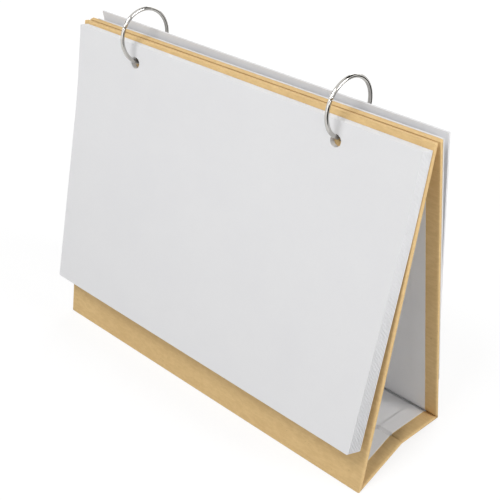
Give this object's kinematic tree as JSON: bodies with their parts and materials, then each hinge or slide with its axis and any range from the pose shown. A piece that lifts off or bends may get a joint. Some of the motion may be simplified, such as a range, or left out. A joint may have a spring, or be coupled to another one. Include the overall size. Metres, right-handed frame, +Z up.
{
  "type": "desk calendar",
  "caption": "Free-standing easel-back desk calendar: blank leaves on hinged metal rings over a folded kraft-covered board stand.",
  "frame": {"origin": "centre of the outline on the table, between the two bottom folds", "axes": "+X to the reader's right along the folds, +Y to the rear, +Z up; the leaves face -Y"},
  "size_m": [0.21, 0.0734, 0.184],
  "materials": {
    "kraft_paper": "matte",
    "greyboard": "matte",
    "lining_paper": "matte",
    "leaf_paper": "matte",
    "ring_steel": "polished",
    "rivet_steel": "polished"
  },
  "bodies": {
    "stand": {"kraft_cover": "kraft_paper", "front_board": "greyboard", "base_front_board": "greyboard", "base_rear_board": "greyboard", "rear_board": "greyboard", "lining_paper": "lining_paper", "turned_leaves": "leaf_paper", "left_ring_lower_half": "ring_steel", "left_ring_rivet": "rivet_steel", "right_ring_lower_half": "ring_steel", "right_ring_rivet": "rivet_steel"},
    "front_leaves": {"front_leaves": "leaf_paper"},
    "left_ring_upper_half": {"left_ring_upper_half": "ring_steel"},
    "right_ring_upper_half": {"right_ring_upper_half": "ring_steel"}
  },
  "joints": [
    {"name": "leaves_turn_over", "type": "hinge", "parent": "stand", "child": "front_leaves", "pos_m": [0, 0.00189, 0.16981], "axis": [-1, 0, 0], "range_deg": [0, 160]},
    {"name": "left_ring_open", "type": "hinge", "parent": "stand", "child": "left_ring_upper_half", "pos_m": [-0.05971, 0.01369, 0.16402], "axis": [-0.9945, 0.1045, 0], "range_deg": [0, 90]},
    {"name": "right_ring_open", "type": "hinge", "parent": "stand", "child": "right_ring_upper_half", "pos_m": [0.06308, 0.01371, 0.16402], "axis": [-0.9962, 0.0872, 0], "range_deg": [0, 90]}
  ]
}
